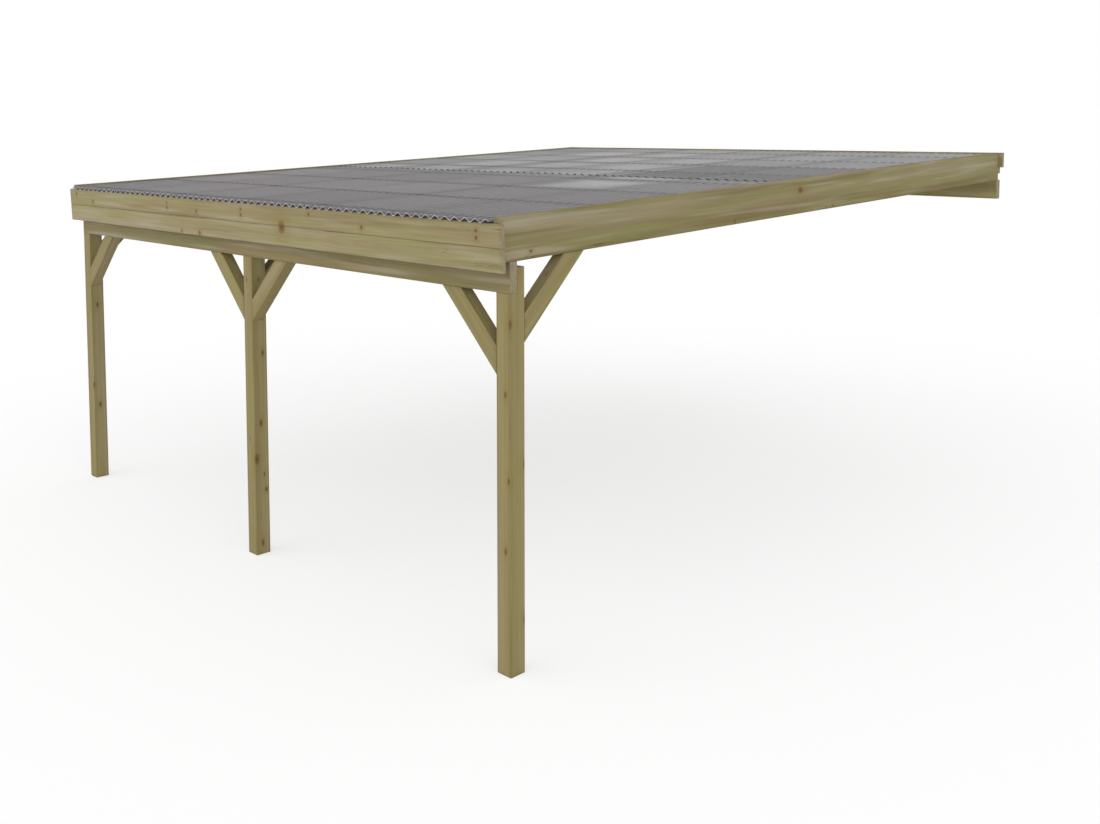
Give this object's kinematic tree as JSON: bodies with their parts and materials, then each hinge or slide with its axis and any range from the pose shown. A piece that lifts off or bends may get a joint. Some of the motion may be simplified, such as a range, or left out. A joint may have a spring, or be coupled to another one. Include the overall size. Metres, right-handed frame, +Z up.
{
  "type": "lean-to carport",
  "caption": "Open timber carport that leans on a house wall: posts, beams, corner braces and rafters under a low roof of smoke-tinted corrugated plastic sheets.",
  "frame": {"origin": "centre of the wall beam's back face, which lies against the house wall", "axes": "+X along the row of posts, +Y into the wall, +Z up; the roof falls towards -Y, where the posts stand"},
  "size_m": [4.91, 5.6462, 2.5465],
  "materials": {
    "post_wood": "planed, pressure-treated softwood",
    "beam_wood": "planed, pressure-treated softwood",
    "rafter_wood": "planed, pressure-treated softwood",
    "batten_wood": "sawn, pressure-treated softwood",
    "board_wood": "planed, pressure-treated softwood",
    "sheet_plastic": "smoke-tinted translucent sheet"
  },
  "bodies": {
    "root": {"post_left": "post_wood", "post_middle": "post_wood", "post_right": "post_wood", "front_beam": "beam_wood", "wall_beam": "beam_wood", "brace_left_post_side": "post_wood", "brace_middle_post_left": "post_wood", "brace_middle_post_right": "post_wood", "brace_right_post_side": "post_wood", "brace_left_post_rear": "post_wood", "brace_middle_post_rear": "post_wood", "brace_right_post_rear": "post_wood", "side_board_left": "rafter_wood", "side_board_right": "rafter_wood", "rafter_1": "rafter_wood", "rafter_2": "rafter_wood", "rafter_3": "rafter_wood", "rafter_4": "rafter_wood", "rafter_5": "rafter_wood", "batten_1": "batten_wood", "batten_2": "batten_wood", "batten_3": "batten_wood", "batten_4": "batten_wood", "batten_5": "batten_wood", "batten_6": "batten_wood", "batten_7": "batten_wood", "batten_8": "batten_wood", "batten_9": "batten_wood", "fascia_upper": "board_wood", "fascia_lower": "board_wood", "rear_board": "board_wood", "wall_strip": "batten_wood", "sheet_lower_1": "sheet_plastic", "sheet_lower_2": "sheet_plastic", "sheet_lower_3": "sheet_plastic", "sheet_lower_4": "sheet_plastic", "sheet_lower_5": "sheet_plastic", "sheet_lower_6": "sheet_plastic", "sheet_upper_1": "sheet_plastic", "sheet_upper_2": "sheet_plastic", "sheet_upper_3": "sheet_plastic", "sheet_upper_4": "sheet_plastic", "sheet_upper_5": "sheet_plastic", "sheet_upper_6": "sheet_plastic"}
  },
  "joints": []
}
